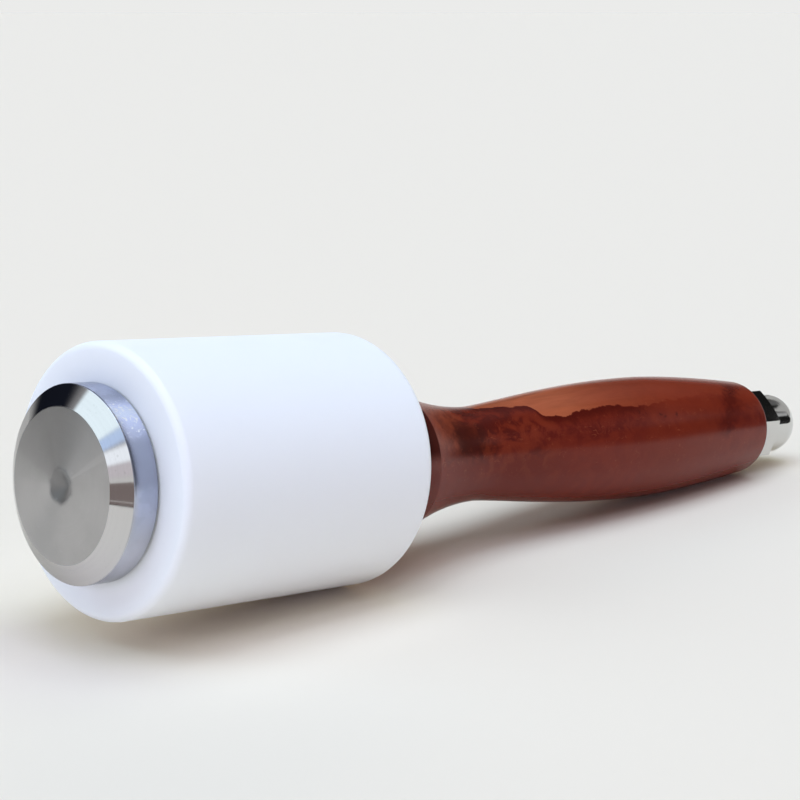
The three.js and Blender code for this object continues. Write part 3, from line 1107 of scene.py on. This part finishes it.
# What gloss shows of the room: azimuth and half the width, elevation and half the height, softness
# of the edge, all in degrees, and the colour.
ROOM_PATCHES = (
    (16, 74, 54, 26, 8, (0.012, 0.012, 0.012)),
    (12, 34, 18, 9, 5, (0.03, 0.02, 0.015)),
    (-50, 13, 24, 30, 5, (0.15, 0.15, 0.17)),
    (14, 14, 43, 9, 4, (0.15, 0.15, 0.16)),
    (-26, 14, 5.5, 8.5, 2, (0.012, 0.012, 0.012)),
    (-7.5, 4, 28, 4, 2, (0.008, 0.008, 0.008)),
    (134, 17, 10, 12, 5, (0.06, 0.06, 0.065)),
    (101.5, 20, 17, 18, 7, (0.010, 0.012, 0.020)),
    (150, 23, 38, 14, 3, (1.22, 1.42, 1.52)),
    (176, 4, 30, 5, 2, (0.70, 0.90, 1.27)),
    (-176, 5, 21, 5, 2, (1.25, 1.33, 1.42)),
    (-171, 9, 13, 4, 2, (0.76, 0.72, 0.76)),
    (-169, 12, 0, 5, 1.5, (0.26, 0.215, 0.205)),
)


def studio_world(stage):
    """Even light for the surfaces, and for the gloss a pale backdrop with the room above it.

    The camera sees the plain backdrop.
    """
    world = bpy.data.worlds.new("studio")
    world.use_nodes = True
    tree = world.node_tree
    tree.nodes.clear()
    path = add(tree, "ShaderNodeLightPath").outputs
    where = add(tree, "ShaderNodeTexCoord").outputs["Generated"]
    sine = add(tree, "ShaderNodeSeparateXYZ", {0: where}).outputs["Z"]
    elevation = calc(tree, "DEGREES", calc(tree, "ARCSINE", sine))
    room = blend(tree, rise(tree, elevation, *BACKDROP_TOP), stage.horizon, stage.room)
    for azimuth, half_width, middle, half_height, soft, tone in ROOM_PATCHES:
        turn_back = {"Vector": where, "Angle": math.radians(-azimuth)}
        turned = add(tree, "ShaderNodeVectorRotate", turn_back, rotation_type="Z_AXIS")
        parts = add(tree, "ShaderNodeSeparateXYZ", {0: turned.outputs[0]}).outputs
        aside = calc(tree, "DEGREES", calc(tree, "ARCTAN2", parts["Y"], parts["X"]))
        aside = calc(tree, "ABSOLUTE", aside)
        above = calc(tree, "ABSOLUTE", calc(tree, "SUBTRACT", elevation, middle))
        across = rise(tree, aside, half_width + soft, half_width - soft)
        upright = rise(tree, above, half_height + soft, half_height - soft)
        room = blend(tree, times(tree, across, upright), room, tone)
    room = blend(tree, path["Is Camera Ray"], room, stage.horizon)
    fill = add(tree, "ShaderNodeBackground", {"Color": rgba(stage.fill), "Strength": 1.0})
    mirror = add(tree, "ShaderNodeBackground", {"Color": room, "Strength": 1.0})
    mirrored = calc(tree, "MAXIMUM", path["Is Glossy Ray"], path["Is Transmission Ray"])
    seen = calc(tree, "MAXIMUM", path["Is Camera Ray"], mirrored)
    both = add(tree, "ShaderNodeMixShader", {0: seen, 1: fill.outputs[0], 2: mirror.outputs[0]})
    add(tree, "ShaderNodeOutputWorld", {"Surface": both.outputs[0]})
    return world


class MALLET_OT_stage(bpy.types.Operator):
    """Set the camera, the pale floor and the soft light"""

    bl_idname = "mallet.stage"
    bl_label = "Stage"

    def execute(self, context):
        stage = context.scene.mallet.stage
        set_camera(context, stage)
        lay_floor(context, stage)
        context.scene.world = studio_world(stage)
        for row in LAMPS:
            sun_lamp(context, *row)
        for row in GLOSS_CARDS:
            gloss_card(context, *row)
        context.scene.view_settings.view_transform = "Standard"
        return {"FINISHED"}


OPERATORS = (
    MALLET_OT_striking_disc,
    MALLET_OT_nylon_head,
    MALLET_OT_wooden_handle,
    MALLET_OT_cap_nut,
    MALLET_OT_through_rod,
    MALLET_OT_stage,
)


class MALLET_PT_panel(bpy.types.Panel):
    """The mallet's pieces, with a button and the settings for each"""

    bl_label = "Leather Carving Mallet"
    bl_idname = "MALLET_PT_panel"
    bl_space_type = "VIEW_3D"
    bl_region_type = "UI"
    bl_category = "Mallet"

    def draw(self, context):
        settings = context.scene.mallet
        for operator in OPERATORS:
            self.layout.operator(operator.bl_idname)
        for name in ("place", "disc", "head", "handle", "nut", "stage"):
            box = self.layout.box()
            group = getattr(settings, name)
            box.label(text=name.capitalize())
            for label in group.__annotations__:
                box.prop(group, label)


CLASSES = (
    MalletPlaceSettings,
    MalletDiscSettings,
    MalletHeadSettings,
    MalletHandleSettings,
    MalletNutSettings,
    MalletStageSettings,
    MalletSettings,
    *OPERATORS,
    MALLET_PT_panel,
)


def register():
    """Registers the settings, the operators and the panel."""
    for item in CLASSES:
        bpy.utils.register_class(item)
    bpy.types.Scene.mallet = PointerProperty(type=MalletSettings)


def unregister():
    """Takes out all that register adds."""
    del bpy.types.Scene.mallet
    for item in reversed(CLASSES):
        bpy.utils.unregister_class(item)


def main():
    """Builds the pieces and the stage."""
    register()
    bpy.ops.mallet.striking_disc()
    bpy.ops.mallet.nylon_head()
    bpy.ops.mallet.wooden_handle()
    bpy.ops.mallet.cap_nut()
    bpy.ops.mallet.through_rod()
    bpy.ops.mallet.stage()


if __name__ == "__main__":
    main()
